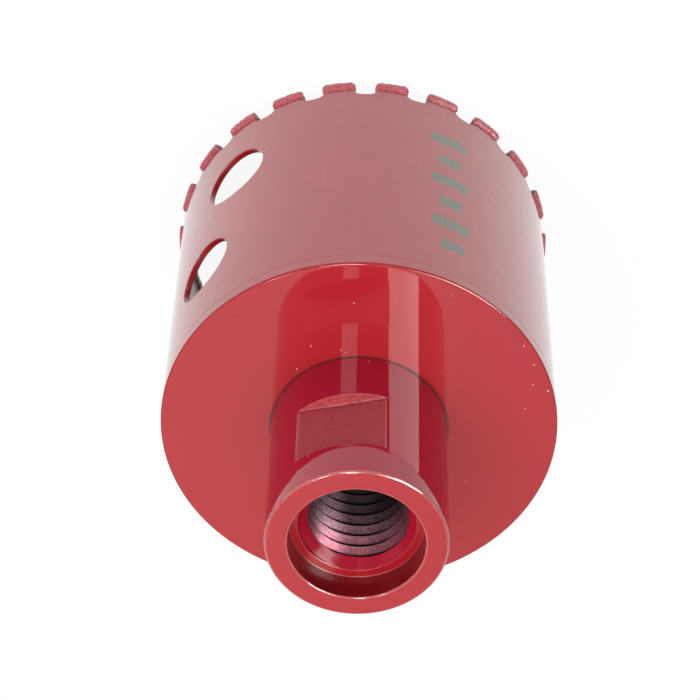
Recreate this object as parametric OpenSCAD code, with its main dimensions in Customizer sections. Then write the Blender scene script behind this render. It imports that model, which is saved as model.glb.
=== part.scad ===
// Diamond core bit for an angle grinder or a drill, standing on its toothed rim.
// +Z runs up the axis from the tooth tips to the mouth of the hub, and -Y points between the two front side holes.

/* [Tube] */
// Outside diameter of the steel tube
tube_d = 49.6; // [46:0.1:60]
// Wall thickness of the steel tube
tube_wall = 0.85; // [0.7:0.05:1.5]
// Height from the tooth tips to the outer face of the base plate
cup_h = 43.1; // [38:0.1:60]

/* [Toothed rim] */
// Number of teeth, one diamond cap on each
tooth_count = 22; // [16:2:24]
// Clear width of a slot between two diamond caps
slot_w = 2.7; // [2:0.1:3.5]
// Depth of a slot, from the tooth tips
slot_h = 2.35; // [1.7:0.05:5]
// Radius of the two corners at the bottom of a slot
slot_corner_r = 1.1; // [0.3:0.05:1.2]
// Rounding of a diamond cap where its tip meets its two flanks
tip_corner_r = 0.35; // [0.1:0.05:0.45]

/* [Diamond caps] */
// Thickness of the grit on the outside of a tooth
grit_out = 0.45; // [0.3:0.05:0.7]
// Thickness of the grit on the inside of a tooth
grit_in = 0.4; // [0.3:0.05:0.7]
// Thickness of the grit over the tip of a tooth
grit_tip = 0.5; // [0.3:0.05:0.7]
// Thickness of the grit on the two flanks of a tooth
grit_side = 0.15; // [0.1:0.05:0.5]
// Bare steel between the outside grit and the level of the slot bottoms
bare_out = 0.85; // [0.4:0.05:1.2]
// Bare steel between the inside grit and the level of the slot bottoms
bare_in = 0.45; // [0.1:0.05:0.8]
// Chamfer along the edges of the grit
grit_edge = 0.15; // [0.05:0.05:0.25]

/* [Side holes] */
// Diameter of the side holes
side_hole_d = 9.4; // [6:0.1:11]
// Height of the lower side holes above the tooth tips
low_hole_z = 12.7; // [10:0.1:15]
// Distance of the upper side holes below the outer face of the base plate
high_hole_drop = 13.7; // [11:0.1:16]
// Turn of the lower side holes about the axis, from -Y
low_hole_turn = -6; // [-12:0.1:0]
// Turn of the upper side holes about the axis, from -Y
high_hole_turn = 5.3; // [0:0.1:12]

/* [Base plate] */
// Thickness of the flange that shows above the end of the tube
flange_t = 1.9; // [1:0.1:4]
// Length of the spigot inside the tube
spigot_h = 3; // [2:0.1:6]
// Radius of the flange's outer edge
flange_edge_r = 0.4; // [0.1:0.05:0.8]
// Chamfer where the spigot enters the tube
spigot_edge = 0.6; // [0.2:0.1:1.5]
// Chamfer of the flange and of the tube along the seam between them
seam_edge = 0.12; // [0.05:0.01:0.3]

/* [Hub] */
// Outside diameter of the hub
hub_d = 22; // [20:0.1:30]
// Height of the hub above the base plate
hub_h = 22.7; // [20:0.1:35]
// Width of the shoulder that seats on the base plate
hub_shoulder = 2.2; // [1.5:0.1:2.4]
// Rounding of the mouth's outer edge
mouth_edge_r = 0.45; // [0.1:0.05:0.8]
// Rounding of the mouth's inner edge
mouth_lip_r = 0.25; // [0.1:0.05:0.4]

/* [Spindle thread] */
// Outside diameter of the metric spindle thread
thread_d = 14; // [12:1:16]
// Pitch of the spindle thread
thread_pitch = 2; // [1:0.25:2]
// Clearance of the countersink outside the thread
countersink_clear = 0.1; // [0:0.05:0.3]
// Width of the ledge at the bottom of the counterbore
ledge_w = 1.1; // [0.8:0.1:1.5]
// Depth of the counterbore from the mouth
counterbore_h = 3.8; // [2.5:0.1:5]
// Countersink at the inner end of the thread
thread_exit = 1.2; // [0.3:0.1:1.5]

/* [Spanner flats] */
// Depth of each of the two flats
flat_depth = 1.5; // [1:0.1:2]
// Height of the flats' lower ledges above the base plate
flat_z = 7.5; // [6:0.1:10]
// Length of the flats along the axis
flat_h = 9.9; // [8:0.1:12]
// Direction that one of the flats faces, from +X
flat_turn = 53.3; // [0:0.1:180]

/* [Hidden] */
$fn = 96;

// Spare length by which every cut runs past the face it opens
overrun = 1;

// Radii of the tube and of the grit outside and inside it
tube_r = tube_d / 2;
bore_r = tube_r - tube_wall;
grit_outer_r = tube_r + grit_out;
grit_inner_r = bore_r - grit_in;

// Heights of the main faces above the tooth tips
seam_z = cup_h - flange_t;
plate_low_z = seam_z - spigot_h;
mouth_z = cup_h + hub_h;
ledge_z = mouth_z - counterbore_h;

// Heights of the grit on the two sides of a tooth
grit_out_h = slot_h - bare_out;
grit_in_h = slot_h - bare_in;

// One tooth and one slot make a pitch, and a slot is centred on -Y
tooth_pitch = 360 / tooth_count;
steel_slot_w = slot_w + 2 * grit_side;

// Radii inside the hub, with the thread's crest as the metric rule gives it
crest_share = 1.0825;
crest_r = (thread_d - crest_share * thread_pitch) / 2;
countersink_r = thread_d / 2 + countersink_clear;
counterbore_r = countersink_r + ledge_w;
hub_r = hub_d / 2;
hub_spigot_r = hub_r - hub_shoulder;

// Finishes of the painted steel and of the brazed grit
paint = "firebrick";
grit = "sienna";

// Name of the diamond cap on tooth i, counted from -Y towards +X
function cap_name(i) = str("cap_", i < 10 ? "0" : "", i);

// Ring between two radii and two heights
module ring(inner_r, outer_r, low_z, high_z) {
    rotate_extrude()
        translate([inner_r, low_z])
            square([outer_r - inner_r, high_z - low_z]);
}

// Outline of a slot that stands on its open end, with its closed end rounded and its mouth flared
module slot_outline(width, height, corner_r) {
    translate([-width / 2, -overrun])
        square([width, height - corner_r + overrun]);
    translate([corner_r - width / 2, 0])
        square([width - 2 * corner_r, height]);
    for (side = [-1, 1]) {
        translate([side * (width / 2 - corner_r), height - corner_r])
            circle(corner_r);
        difference() {
            translate([min(0, side * (width / 2 + tip_corner_r)), -overrun])
                square([width / 2 + tip_corner_r, overrun + tip_corner_r]);
            translate([side * (width / 2 + tip_corner_r), tip_corner_r])
                circle(tip_corner_r);
        }
    }
}

// Slots on both sides of tooth i, cut straight through the wall of the rim
module slots_beside(i, width) {
    for (k = [i - 1, i])
        rotate([0, 0, k * tooth_pitch])
            slot_cut(width);
}

// One slot cut on -Y
module slot_cut(width) {
    translate([0, -grit_inner_r + overrun, 0])
        rotate([90, 0, 0])
            linear_extrude(grit_outer_r - grit_inner_r + 2 * overrun)
                slot_outline(width, slot_h, slot_corner_r);
}

// Side hole and the one opposite, drilled along a diameter
module side_hole_pair(turn, height) {
    translate([0, 0, height])
        rotate([90, 0, turn])
            cylinder(d = side_hole_d, h = tube_d + 2 * overrun, center = true);
}

// Half section of the tube, chamfered along its seam with the flange
module tube_section() {
    polygon([
        [bore_r, grit_tip],
        [tube_r, grit_tip],
        [tube_r, seam_z - seam_edge],
        [tube_r - seam_edge, seam_z],
        [bore_r, seam_z]
    ]);
}

// Rolled tube with a slotted rim and four side holes
module barrel() {
    color(paint)
        difference() {
            rotate_extrude()
                tube_section();
            for (i = [1:tooth_count])
                rotate([0, 0, i * tooth_pitch])
                    slot_cut(steel_slot_w);
            side_hole_pair(low_hole_turn, low_hole_z);
            side_hole_pair(high_hole_turn, cup_h - high_hole_drop);
        }
}

// Half section of the grit around a tooth, chamfered along its edges
module grit_section() {
    polygon([
        [grit_inner_r + grit_edge, 0],
        [grit_outer_r - grit_edge, 0],
        [grit_outer_r, grit_edge],
        [grit_outer_r, grit_out_h - grit_edge],
        [grit_outer_r - grit_edge, grit_out_h],
        [tube_r, grit_out_h],
        [bore_r, grit_in_h],
        [grit_inner_r + grit_edge, grit_in_h],
        [grit_inner_r, grit_in_h - grit_edge],
        [grit_inner_r, grit_edge]
    ]);
}

// Brazed diamond cap over the end of tooth i, open only towards the steel
module cap(i) {
    color(grit)
        difference() {
            rotate([0, 0, (i - 1) * tooth_pitch - 90])
                rotate_extrude(angle = tooth_pitch)
                    grit_section();
            slots_beside(i, slot_w);
            difference() {
                ring(bore_r, tube_r, grit_tip, slot_h + overrun);
                slots_beside(i, steel_slot_w);
            }
        }
}

// Turned disc that closes the tube, with its spigot inside the tube and a bore for the hub
module base_plate() {
    color(paint)
        rotate_extrude()
            difference() {
                polygon([
                    [hub_spigot_r, plate_low_z],
                    [bore_r - spigot_edge, plate_low_z],
                    [bore_r, plate_low_z + spigot_edge],
                    [bore_r, seam_z],
                    [tube_r - seam_edge, seam_z],
                    [tube_r, seam_z + seam_edge],
                    [tube_r, cup_h],
                    [hub_spigot_r, cup_h]
                ]);
                round_off([tube_r, cup_h], flange_edge_r);
            }
}

// Cut that rounds an outside corner at the upper right of a half section
module round_off(corner, radius) {
    translate(corner - [radius, radius])
        difference() {
            square(radius + overrun);
            circle(radius);
        }
}

// Half section of the hub, from its spigot to its mouth, with the counterbore and both countersinks
module hub_section() {
    difference() {
        union() {
            translate([crest_r, plate_low_z])
                square([hub_spigot_r - crest_r, cup_h - plate_low_z]);
            translate([crest_r, cup_h])
                square([hub_r - crest_r, hub_h]);
        }
        polygon([
            [crest_r - overrun, ledge_z - (countersink_r - crest_r) - overrun],
            [countersink_r, ledge_z],
            [counterbore_r, ledge_z],
            [counterbore_r, mouth_z + overrun],
            [crest_r - overrun, mouth_z + overrun]
        ]);
        polygon([
            [crest_r - overrun, plate_low_z - overrun],
            [crest_r + thread_exit + overrun, plate_low_z - overrun],
            [crest_r - overrun, plate_low_z + thread_exit + overrun]
        ]);
        round_off([hub_r, mouth_z], mouth_edge_r);
        translate([counterbore_r, mouth_z])
            mirror([1, 0])
                round_off([0, 0], mouth_lip_r);
    }
}

// Turned hub with a threaded bore and two spanner flats
module hub() {
    color(paint)
        difference() {
            rotate_extrude()
                hub_section();
            for (side = [0, 180])
                rotate([0, 0, flat_turn + side])
                    translate([hub_r - flat_depth, -hub_r, cup_h + flat_z])
                        cube([flat_depth + overrun, hub_d, flat_h]);
        }
}

barrel();
base_plate();
hub();
for (i = [1:tooth_count])
    cap(i);
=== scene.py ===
"""Looks of a small diamond core bit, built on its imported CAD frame.

Lengths are in metres. A size in millimetres is written as a number times MM.
"""

from __future__ import annotations

import logging
import math
from collections.abc import Iterable, Sequence
from dataclasses import dataclass, field
from enum import Enum
from typing import Any

import bmesh
import bpy
import numpy as np
from mathutils import Euler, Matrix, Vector, noise
from mathutils.geometry import delaunay_2d_cdt


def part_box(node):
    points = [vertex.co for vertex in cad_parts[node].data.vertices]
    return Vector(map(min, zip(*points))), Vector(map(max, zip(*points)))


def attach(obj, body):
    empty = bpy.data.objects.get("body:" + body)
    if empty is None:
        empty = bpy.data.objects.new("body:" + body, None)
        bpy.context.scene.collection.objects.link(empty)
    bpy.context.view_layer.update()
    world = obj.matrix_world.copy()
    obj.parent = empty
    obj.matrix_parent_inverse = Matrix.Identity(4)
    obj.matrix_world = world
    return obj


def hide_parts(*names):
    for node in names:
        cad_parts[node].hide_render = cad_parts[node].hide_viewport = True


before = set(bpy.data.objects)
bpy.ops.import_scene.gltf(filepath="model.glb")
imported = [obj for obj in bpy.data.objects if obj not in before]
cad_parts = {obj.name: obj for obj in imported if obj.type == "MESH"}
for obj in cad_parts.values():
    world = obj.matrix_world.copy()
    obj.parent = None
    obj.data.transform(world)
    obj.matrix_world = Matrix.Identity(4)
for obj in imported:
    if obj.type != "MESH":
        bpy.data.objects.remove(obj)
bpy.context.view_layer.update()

MM = 0.001
BODY = "root"
GIVEN = "given_normal"
Colour = tuple[float, float, float]
Socket = bpy.types.NodeSocket

log = logging.getLogger("core_bit")


class Slot(Enum):
    """Material slots of the record."""

    BARREL = "barrel"
    BASE_PLATE = "base_plate"
    HUB = "hub"
    GRIT = "diamond_grit"


@dataclass(frozen=True)
class Sizes:
    """Main sizes of the core bit: heights from the boxes of its CAD nodes, radii as they are in the CAD."""

    tip_z: float
    steel_tip_z: float
    seam_z: float
    plate_z: float
    plate_low_z: float
    mouth_z: float
    tube_r: float = 24.8 * MM
    bore_r: float = 23.95 * MM
    grit_outer_r: float = 25.25 * MM
    grit_inner_r: float = 23.55 * MM
    hub_r: float = 11.0 * MM
    spigot_r: float = 8.8 * MM
    teeth: int = 22
    slot_w: float = 2.7 * MM
    steel_slot_w: float = 3.0 * MM
    slot_h: float = 2.35 * MM
    slot_corner_r: float = 1.1 * MM

    @classmethod
    def from_frame(cls) -> Sizes:
        """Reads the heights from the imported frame."""
        return cls(
            tip_z=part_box("cap_01")[0].z,
            steel_tip_z=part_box("barrel")[0].z,
            seam_z=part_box("barrel")[1].z,
            plate_z=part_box("base_plate")[1].z,
            plate_low_z=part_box("base_plate")[0].z,
            mouth_z=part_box("hub")[1].z,
        )

    @property
    def pitch(self) -> float:
        """Angle from one slot to the next, in radians."""
        return math.tau / self.teeth

    def slot_angle(self, number: int) -> float:
        """Angle of a slot's middle, in radians. Slot 0 is on -Y."""
        return -math.pi / 2 + number * self.pitch

    def tooth_angle(self, number: int) -> float:
        """Angle of a tooth's middle, in radians. Tooth 1 comes after slot 0."""
        return -math.pi / 2 + (number - 0.5) * self.pitch


def round_corner(steps: int) -> np.ndarray:
    """Gives the angles of a quarter round, from 0 to 90 degrees.

    Args:
        steps: Number of faces across the rounding.

    Returns:
        The angles in radians, one more than the faces.
    """
    return np.linspace(0.0, math.pi / 2, steps + 1)


def turned(radii: Sequence[float] | np.ndarray, heights: Sequence[float] | np.ndarray, angles: np.ndarray) -> np.ndarray:
    """Turns a half section about the axis.

    Args:
        radii: Radius of each row, or a grid of radii with one column for each angle.
        heights: Height of each row, or a grid of heights.
        angles: Angles of the columns, in radians.

    Returns:
        Points as an array of rows, columns and coordinates.
    """
    radii, heights = np.asarray(radii, float), np.asarray(heights, float)
    if radii.ndim == 1:
        radii = np.repeat(radii[:, None], len(angles), axis=1)
    if heights.ndim == 1:
        heights = np.repeat(heights[:, None], len(angles), axis=1)
    return np.stack([radii * np.cos(angles), radii * np.sin(angles), heights], axis=-1)


class Skin:
    """Points, faces and finish numbers of a mesh that is being built."""

    def __init__(self) -> None:
        """Starts with nothing in it."""
        self.points: list[np.ndarray] = []
        self.normals: list[np.ndarray] = []
        self.faces: list[tuple[int, ...]] = []
        self.finishes: list[int] = []
        self.marks: dict[str, list[np.ndarray]] = {}
        self.count = 0

    def place(self, points: np.ndarray, normals: np.ndarray | None = None, **marks: float | np.ndarray) -> np.ndarray:
        """Adds points of any grid shape.

        Args:
            points: Array whose last axis holds the three coordinates.
            normals: Normals of the points, where they aren't left to their faces.
            marks: Values of the points in the mesh's attributes, by name.

        Returns:
            The numbers of the points, in the shape of the grid.
        """
        flat = points.reshape(-1, 3)
        numbers = np.arange(self.count, self.count + len(flat)).reshape(points.shape[:-1])
        self.points.append(flat)
        for name, values in marks.items():
            self.marks.setdefault(name, []).append(np.broadcast_to(values, points.shape[:-1]).ravel())
        self.normals.append(np.zeros((len(flat), 3)) if normals is None else normals.reshape(-1, 3))
        self.count += len(flat)
        return numbers

    def span(self, grid: np.ndarray, closed: bool = True, finish: int | np.ndarray = 0) -> None:
        """Joins a grid of point numbers into quads.

        Args:
            grid: Point numbers, as rows and columns.
            closed: Whether the last column joins the first.
            finish: One finish number, or one for each quad.
        """
        if closed:
            grid = np.concatenate([grid, grid[:, :1]], axis=1)
        quads = np.stack([grid[:-1, :-1], grid[:-1, 1:], grid[1:, 1:], grid[1:, :-1]], axis=-1)
        self.faces.extend(map(tuple, quads.reshape(-1, 4).tolist()))
        self.finishes.extend(np.broadcast_to(finish, quads.shape[:2]).ravel().tolist())

    def add_faces(self, faces: Iterable[Sequence[int]], finish: int = 0) -> None:
        """Adds faces that are given by their point numbers."""
        for face in faces:
            self.faces.append(tuple(face))
            self.finishes.append(finish)

    def build(self, name: str, materials: Sequence[bpy.types.Material]) -> bpy.types.Object:
        """Makes the mesh object, closed, smooth and with its faces outwards.

        Args:
            name: Name of the piece.
            materials: Materials of the finish numbers.

        Returns:
            The new object, at the origin.
        """
        mesh = bpy.data.meshes.new(name)
        mesh.from_pydata(np.concatenate(self.points).tolist(), [], self.faces)
        mesh.polygons.foreach_set("material_index", np.asarray(self.finishes, np.int32))
        for material in materials:
            mesh.materials.append(material)
        for label, values in self.marks.items():
            mark = mesh.attributes.new(label, "FLOAT", "POINT")
            mark.data.foreach_set("value", np.concatenate(values).astype(np.float32))
        given = mesh.attributes.new(GIVEN, "FLOAT_VECTOR", "POINT")
        given.data.foreach_set("vector", np.concatenate(self.normals).astype(np.float32).ravel())
        close_seams(mesh)
        weigh_normals(mesh)
        return link_piece(name, mesh)


def link_piece(name: str, mesh: bpy.types.Mesh) -> bpy.types.Object:
    """Puts a mesh into the scene as an object at the origin."""
    piece = bpy.data.objects.new(name, mesh)
    bpy.context.scene.collection.objects.link(piece)
    return piece


def close_seams(mesh: bpy.types.Mesh) -> None:
    """Merges the doubled points of seams and poles, and turns the faces outwards."""
    shape = bmesh.new()
    shape.from_mesh(mesh)
    bmesh.ops.remove_doubles(shape, verts=shape.verts, dist=1e-7)
    bmesh.ops.dissolve_degenerate(shape, edges=shape.edges, dist=1e-8)
    bmesh.ops.recalc_face_normals(shape, faces=shape.faces)
    shape.to_mesh(mesh)
    shape.free()


def weigh_normals(mesh: bpy.types.Mesh, flat_finish: int = -1) -> None:
    """Smooths a mesh with the given normals of its points, or else with the mean of their faces' normals, weighed by area.

    Args:
        mesh: Mesh to smooth.
        flat_finish: Finish number of the faces that stay flat.
    """
    mesh.shade_smooth()
    corner_points = np.empty(len(mesh.loops), np.int32)
    mesh.loops.foreach_get("vertex_index", corner_points)
    face_normals = np.empty(len(mesh.polygons) * 3, np.float32)
    mesh.polygons.foreach_get("normal", face_normals)
    areas = np.empty(len(mesh.polygons), np.float32)
    mesh.polygons.foreach_get("area", areas)
    corners = np.empty(len(mesh.polygons), np.int32)
    mesh.polygons.foreach_get("loop_total", corners)
    weighed = np.repeat(face_normals.reshape(-1, 3) * areas[:, None], corners, axis=0)
    normals = np.zeros((len(mesh.vertices), 3))
    np.add.at(normals, corner_points, weighed)
    lengths = np.linalg.norm(normals, axis=1, keepdims=True)
    normals = np.where(lengths > 0, normals / np.maximum(lengths, 1e-30), (0.0, 0.0, 1.0))
    given = mesh.attributes.get(GIVEN)
    if given is not None:
        own = np.empty(len(mesh.vertices) * 3, np.float32)
        given.data.foreach_get("vector", own)
        own = own.reshape(-1, 3)
        normals = np.where(np.abs(own).sum(axis=1, keepdims=True) > 0, own, normals)
    finishes = np.empty(len(mesh.polygons), np.int32)
    mesh.polygons.foreach_get("material_index", finishes)
    flat = np.repeat(finishes == flat_finish, corners)[:, None]
    at_corners = np.where(flat, np.repeat(face_normals.reshape(-1, 3), corners, axis=0), normals[corner_points])
    mesh.normals_split_custom_set(at_corners.tolist())


def hand_over(piece: bpy.types.Object, slot: Slot, *nodes: str) -> None:
    """Attaches a finished piece to the frame's body, hides the CAD nodes that it stands for, and reports it.

    Args:
        piece: The piece, in place.
        slot: Material slot that it would take its finish from; not used.
        nodes: CAD nodes that it stands for.
    """
    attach(piece, BODY)
    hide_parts(*nodes)
    mesh = piece.data
    mesh.attributes.remove(mesh.attributes[GIVEN])
    mesh.calc_loop_triangles()
    log.info("%s: %d triangles, stands for %s", piece.name, len(mesh.loop_triangles), ", ".join(nodes))


class Shading:
    """Short ways to place and join the shader nodes of one material."""

    def __init__(self, name: str) -> None:
        """Starts an empty material with its output and the object's coordinates."""
        self.material = bpy.data.materials.new(name)
        self.material.use_nodes = True
        self.tree = self.material.node_tree
        self.tree.nodes.clear()
        self.output = self.tree.nodes.new("ShaderNodeOutputMaterial")
        coordinates = self.node("ShaderNodeTexCoord")
        self.here: Socket = coordinates.outputs["Object"]
        self.facing_up = self.node("ShaderNodeSeparateXYZ", Vector=coordinates.outputs["Normal"]).outputs["Z"]
        axes = self.node("ShaderNodeSeparateXYZ", Vector=self.here)
        self.x, self.y, self.z = axes.outputs
        self.radius = self.math("SQRT", self.math("ADD", self.math("MULTIPLY", self.x, self.x), self.math("MULTIPLY", self.y, self.y)))

    def node(self, kind: str, settings: dict[str, Any] | None = None, **inputs: Any) -> bpy.types.Node:
        """Places a node.

        Args:
            kind: Type name of the node.
            settings: Values of its own properties.
            inputs: Values or sockets for its inputs, with _ for a space in the name.

        Returns:
            The node.
        """
        made = self.tree.nodes.new(kind)
        for key, value in (settings or {}).items():
            setattr(made, key, value)
        for key, value in inputs.items():
            self.feed(made.inputs[key.replace("_", " ")], value)
        return made

    def feed(self, socket: Socket, value: Any) -> None:
        """Links a socket into an input, or sets the input's value."""
        if isinstance(value, bpy.types.NodeSocket):
            self.tree.links.new(value, socket)
        else:
            socket.default_value = value

    def math(self, operation: str, first: Any, second: Any = 0.0, clamp: bool = False) -> Socket:
        """Gives the result of a math node on one or two values."""
        made = self.node("ShaderNodeMath", {"operation": operation, "use_clamp": clamp})
        self.feed(made.inputs[0], first)
        self.feed(made.inputs[1], second)
        return made.outputs[0]

    def step(self, value: Any, low: float, high: float) -> Socket:
        """Gives 0 at low and 1 at high, with a smooth rise between them."""
        made = self.node("ShaderNodeMapRange", {"interpolation_type": "SMOOTHSTEP", "clamp": True}, Value=value)
        made.inputs["From Min"].default_value = low
        made.inputs["From Max"].default_value = high
        return made.outputs[0]

    def noise(self, size: float, detail: float = 2.0, roughness: float = 0.5, stretch: Sequence[float] = (1, 1, 1),
              turn: Sequence[float] = (0, 0, 0)) -> Socket:
        """Gives fine noise.

        Args:
            size: Length of one feature, in metres.
            detail: Number of finer layers.
            roughness: Share of the finer layers.
            stretch: Scale along the three axes, for streaks.
            turn: Shift of the pattern, so that two of them differ.

        Returns:
            The noise, from 0 to 1.
        """
        place = self.node("ShaderNodeMapping", Vector=self.here, Location=tuple(turn), Scale=tuple(stretch))
        made = self.node("ShaderNodeTexNoise", Vector=place.outputs[0], Scale=1 / size, Detail=detail, Roughness=roughness)
        return made.outputs[0]

    def mark(self, name: str) -> Socket:
        """Gives a value that the mesh keeps at its points."""
        return self.node("ShaderNodeAttribute", {"attribute_name": name}).outputs["Fac"]

    def cells(self, size: float) -> Socket:
        """Gives the distance to the nearest of scattered points, as a share of their spacing."""
        return self.node("ShaderNodeTexVoronoi", Vector=self.here, Scale=1 / size).outputs["Distance"]

    def mix(self, share: Any, first: Any, second: Any) -> Socket:
        """Mixes two colours, from the first at 0 to the second at 1."""
        made = self.node("ShaderNodeMix", {"data_type": "RGBA"})
        for number, value in ((0, share), (6, first), (7, second)):
            if isinstance(value, tuple):
                value = (*value, 1.0)
            self.feed(made.inputs[number], value)
        return made.outputs[2]

    def blend(self, share: Any, first: Any, second: Any) -> Socket:
        """Mixes two numbers, from the first at 0 to the second at 1."""
        made = self.node("ShaderNodeMix", {"data_type": "FLOAT"})
        for number, value in ((0, share), (2, first), (3, second)):
            self.feed(made.inputs[number], value)
        return made.outputs[0]

    def near_ring(self, radius: float, height: float, width: float) -> Socket:
        """Gives 1 on a ring round the axis, and 0 beyond a width from it."""
        across = self.math("SUBTRACT", self.radius, radius)
        along = self.math("SUBTRACT", self.z, height)
        away = self.math("SQRT", self.math("ADD", self.math("MULTIPLY", across, across), self.math("MULTIPLY", along, along)))
        return self.step(away, width, width * 0.4)

    def near_point(self, point: Sequence[float], size: float) -> Socket:
        """Gives 1 at a point, and 0 beyond a size from it."""
        away = self.node("ShaderNodeVectorMath", {"operation": "DISTANCE"})
        self.feed(away.inputs[0], self.here)
        self.feed(away.inputs[1], tuple(point))
        return self.step(away.outputs["Value"], size, size * 0.6)

    def either(self, first: Any, second: Any) -> Socket:
        """Gives the larger of two values."""
        return self.math("MAXIMUM", first, second)

    def both(self, first: Any, second: Any) -> Socket:
        """Gives the product of two values."""
        return self.math("MULTIPLY", first, second)

    def bump(self, height: Any, distance: float, below: Socket | None = None) -> Socket:
        """Raises the surface by a height from 0 to 1 times a distance, over another bump if one is given."""
        made = self.node("ShaderNodeBump", Height=height, Distance=distance)
        if below is not None:
            self.feed(made.inputs["Normal"], below)
        return made.outputs[0]

    def finish(self, colour: Any, roughness: Any, normal: Socket | None = None, metallic: Any = 0.0,
               coat: float = 0.0, coat_roughness: float = 0.05, specular: float = 0.5,
               coat_ior: float = 1.75) -> bpy.types.Material:
        """Joins everything to the surface shader.

        Args:
            colour: Colour or its socket.
            roughness: Roughness or its socket.
            normal: Bumped normal, if any.
            metallic: Share of bare metal or its socket.
            coat: Weight of the clear gloss on top.
            coat_roughness: Roughness of that gloss.
            specular: Level of the surface's own gloss, under the clear one.
            coat_ior: Index of refraction of the clear gloss.

        Returns:
            The finished material.
        """
        surface = self.node("ShaderNodeBsdfPrincipled")
        if isinstance(colour, tuple):
            colour = (*colour, 1.0)
        self.feed(surface.inputs["Base Color"], colour)
        self.feed(surface.inputs["Roughness"], roughness)
        self.feed(surface.inputs["Metallic"], metallic)
        surface.inputs["Specular IOR Level"].default_value = specular
        surface.inputs["Coat Weight"].default_value = coat
        surface.inputs["Coat Roughness"].default_value = coat_roughness
        surface.inputs["Coat IOR"].default_value = coat_ior
        if normal is not None:
            self.feed(surface.inputs["Normal"], normal)
            if coat:
                self.feed(surface.inputs["Coat Normal"], normal)
        self.feed(self.output.inputs["Surface"], surface.outputs[0])
        return self.material


@dataclass(frozen=True)
class Speck:
    """A pale speck of dust in the paint, or a dark chip."""

    place: tuple[float, float, float]
    size: float
    dark: bool = False


@dataclass(frozen=True)
class GlossPaint:
    """Red gloss paint on turned steel, thin at its edges, with a painted sheen on faces that look up and painted
    highlights on its worn rings.
    """

    name: str
    colour: Colour = (0.43, 0.006, 0.030)
    deep: Colour = (0.38, 0.005, 0.025)
    # Colour of faces that look up: a painted sheen.
    painted_top_sheen: Colour = (0.47, 0.006, 0.012)
    # Pale colour of dust specks, streaks and worn edges; on the worn rings it is also a painted highlight.
    worn: Colour = (0.66, 0.22, 0.20)
    dark_tone: Colour = (0.15, 0.02, 0.018)
    roughness: float = 0.3
    specular: float = 0.0
    coat: float = 1.0
    coat_roughness: float = 0.03
    coat_ior: float = 1.75
    worn_highlight_rings: tuple[tuple[float, float, float], ...] = ()
    dark_rings: tuple[tuple[float, float, float], ...] = ()
    specks: tuple[Speck, ...] = ()

    def shading(self) -> tuple[Shading, Socket, Socket, Socket]:
        """Builds the paint up to its colour, roughness and bump.

        Returns:
            The material being built, and the sockets of its colour, roughness and normal.
        """
        s = Shading(self.name)
        cloud = s.step(s.noise(9 * MM, 3.0), 0.35, 0.7)
        # Faces that look up take a colour of their own: a painted sheen for the light that falls on them.
        top_sheen_share = s.step(s.facing_up, 0.8, 0.99)
        colour = s.mix(top_sheen_share, s.mix(s.both(cloud, 0.5), self.colour, self.deep), self.painted_top_sheen)
        dust = s.both(s.step(s.cells(2.6 * MM), 0.075, 0.04), s.step(s.noise(5 * MM, turn=(3, 1, 2)), 0.52, 0.6))
        colour = s.mix(s.both(dust, 0.55), colour, self.worn)
        rough = s.math("ADD", self.roughness, s.both(s.noise(1.5 * MM), 0.12))
        ragged = s.step(s.noise(0.5 * MM, 3.0, 0.6), 0.38, 0.6)
        # Pale worn paint round the given rings, which also paints a highlight along the edges.
        for radius, height, width in self.worn_highlight_rings:
            share = s.both(s.near_ring(radius, height, width), s.blend(ragged, 0.3, 0.5))
            colour = s.mix(share, colour, self.worn)
        # Darker paint round the given rings.
        for radius, height, width in self.dark_rings:
            share = s.near_ring(radius, height, width)
            colour = s.mix(s.both(share, s.blend(ragged, 0.75, 1.0)), colour, self.dark_tone)
        for speck in self.specks:
            share = s.near_point(speck.place, speck.size)
            colour = s.mix(share, colour, self.dark_tone if speck.dark else (0.8, 0.42, 0.36))
        peel = s.bump(s.noise(0.9 * MM, 1.0), 0.0015 * MM)
        return s, colour, rough, peel

    def material(self) -> bpy.types.Material:
        """Builds the material of the paint."""
        s, colour, rough, normal = self.shading()
        return s.finish(colour, rough, normal, coat=self.coat, coat_roughness=self.coat_roughness, specular=self.specular,
                        coat_ior=self.coat_ior)


@dataclass(frozen=True)
class PrintedScale:
    """A plain scale of grey bars up the tube, as a depth mark."""

    angle: float = math.radians(-90 - 75.5)
    width: float = 5.4 * MM
    low_z: float = 9.0 * MM
    step_z: float = 5.0 * MM
    bars: int = 6
    bar_h: float = 2.2 * MM
    colour: Colour = (0.06, 0.115, 0.08)
    thin: Colour = (0.13, 0.15, 0.11)

    def mask(self, s: Shading, radius: float) -> Socket:
        """Gives 1 on the printed bars and 0 beside them.

        Args:
            s: Material that is being built.
            radius: Radius of the tube.

        Returns:
            The share of the print.
        """
        side = s.math("ADD", s.both(s.x, -math.sin(self.angle)), s.both(s.y, math.cos(self.angle)))
        facing = s.math("ADD", s.both(s.x, math.cos(self.angle)), s.both(s.y, math.sin(self.angle)))
        along = s.both(s.math("ARCTAN2", side, facing), radius)
        up = s.math("SUBTRACT", s.z, self.low_z)
        number = s.math("FLOOR", s.math("DIVIDE", up, self.step_z))
        half = s.math("MODULO", number, 2.0)
        reach = s.math("SUBTRACT", self.width / 2, s.both(half, self.width * 0.2))
        edge = 0.05 * MM
        inside = s.step(s.math("SUBTRACT", reach, s.math("ABSOLUTE", along)), 0.0, edge)
        rise = s.math("MODULO", up, self.step_z)
        bar = s.both(s.step(rise, 0.0, edge), s.step(rise, self.bar_h, self.bar_h - edge))
        extent = s.both(s.step(up, 0.0, edge), s.step(up, self.bars * self.step_z, self.bars * self.step_z - edge))
        thin = s.step(s.noise(0.35 * MM, 3.0, 0.7), 0.28, 0.42)
        return s.both(s.both(inside, bar), s.both(extent, thin))


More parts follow.
